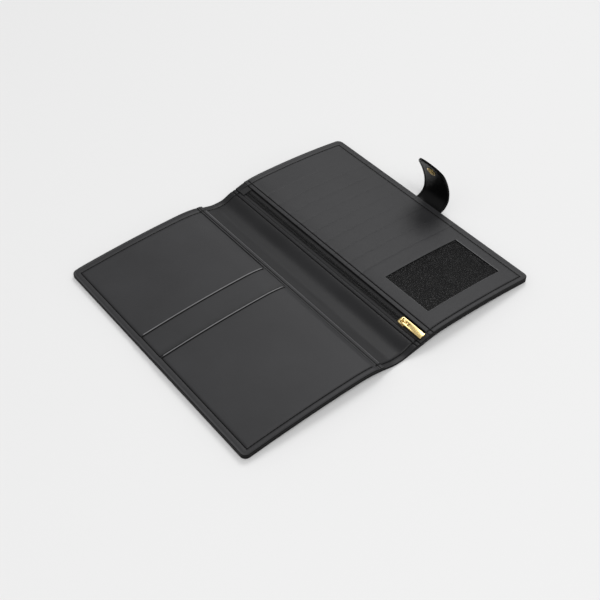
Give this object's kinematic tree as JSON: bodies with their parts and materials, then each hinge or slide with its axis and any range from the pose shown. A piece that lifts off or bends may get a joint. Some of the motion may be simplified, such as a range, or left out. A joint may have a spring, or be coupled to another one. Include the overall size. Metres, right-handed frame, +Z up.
{
  "type": "passport wallet",
  "caption": "Open leather travel wallet: two pocketed covers on a soft spine, with a zipped pocket, card slots, an ID window and a snap strap.",
  "frame": {"origin": "centre of the open wallet's footprint, on the surface it lies on", "axes": "+X across the open wallet towards the strap, +Y along the spine away from the zip pull, +Z up out of the pockets' side"},
  "size_m": [0.2761, 0.22, 0.0492],
  "materials": {
    "cover_leather": "fine grain, semi-matte, painted edges",
    "panel_leather": "fine grain, semi-matte",
    "lining_leather": "fine grain, semi-matte, soft",
    "backing_leather": "pebbled grain, dull",
    "strap_leather": "fine grain, dark, stitched edge",
    "board": "plain grey-brown board",
    "pocket_fabric": "plain weave lining",
    "zip_tape": "herringbone woven tape",
    "zip_coil": "nylon coil, satin",
    "gold_metal": "polished pale gold plate",
    "clear_film": "thin clear vinyl"
  },
  "bodies": {
    "right_cover": {"right_cover_leather": "cover_leather", "right_stiffener_board": "board", "zip_pocket_lining": "pocket_fabric", "card_panel": "panel_leather", "strap_anchor": "strap_leather", "spine_lining_right": "lining_leather", "window_panel": "panel_leather", "window_backing": "backing_leather", "window_film": "clear_film", "card_slot_1": "panel_leather", "card_slot_2": "panel_leather", "card_slot_3": "panel_leather", "card_slot_4": "panel_leather", "card_slot_5": "panel_leather", "card_slot_6": "panel_leather", "card_slot_7": "panel_leather", "card_slot_8": "panel_leather", "zip_tape_left": "zip_tape", "zip_tape_right": "zip_tape", "zip_coil_left": "zip_coil", "zip_coil_right": "zip_coil", "zip_top_stops": "gold_metal", "zip_bottom_stop": "gold_metal"},
    "spine": {"spine_leather": "cover_leather", "spine_lining": "lining_leather"},
    "left_cover": {"left_cover_leather": "cover_leather", "left_stiffener_board": "board", "spine_lining_left": "lining_leather", "left_back_panel": "panel_leather", "left_middle_pocket": "panel_leather", "left_lower_pocket": "panel_leather", "left_spine_binding": "panel_leather", "snap_stud": "gold_metal", "stud_rivet": "gold_metal"},
    "strap_root": {"strap_root_leather": "strap_leather", "strap_root_lining": "strap_leather"},
    "strap_middle": {"strap_middle_leather": "strap_leather", "strap_middle_lining": "strap_leather"},
    "strap_tip": {"strap_tip_leather": "strap_leather", "strap_tip_lining": "strap_leather", "snap_cap": "gold_metal", "snap_socket": "gold_metal"},
    "slider": {"slider_body": "gold_metal", "slider_bridge": "gold_metal"},
    "pull": {"pull_plate": "gold_metal"}
  },
  "joints": [
    {"name": "spine_fold", "type": "hinge", "parent": "right_cover", "child": "spine", "pos_m": [-0.00105, 0, 0.00173], "axis": [0, 1, 0], "range_deg": [0, 90]},
    {"name": "left_cover_fold", "type": "hinge", "parent": "spine", "child": "left_cover", "pos_m": [-0.01705, 0, 0.004], "axis": [0, 1, 0], "range_deg": [0, 90]},
    {"name": "strap_bend", "type": "hinge", "parent": "right_cover", "child": "strap_root", "pos_m": [0.12755, 0, 0.0022], "axis": [0, -1, 0], "range_deg": [-40, 24], "stiffness_Nm_per_rad": 0.03},
    {"name": "strap_middle_bend", "type": "hinge", "parent": "strap_root", "child": "strap_middle", "pos_m": [0.13715, 0, 0.0118], "axis": [0, -1, 0], "range_deg": [-16.7, 10]},
    {"name": "strap_tip_bend", "type": "hinge", "parent": "strap_middle", "child": "strap_tip", "pos_m": [0.13537, 0, 0.02301], "axis": [0, -1, 0], "range_deg": [-53.4, 32]},
    {"name": "zip_slide", "type": "slide", "parent": "right_cover", "child": "slider", "axis": [0, 1, 0], "range_m": [0, 0.183]},
    {"name": "pull_swing", "type": "hinge", "parent": "slider", "child": "pull", "pos_m": [0.01965, -0.08825, 0.00892], "axis": [-0.9816, 0, -0.1908], "range_deg": [0, 180]}
  ],
  "couplings": [
    {"joint": "left_cover_fold", "follows": "spine_fold", "ratio": 1},
    {"joint": "strap_middle_bend", "follows": "strap_bend", "ratio": 0.41667},
    {"joint": "strap_tip_bend", "follows": "strap_bend", "ratio": 1.3333}
  ]
}
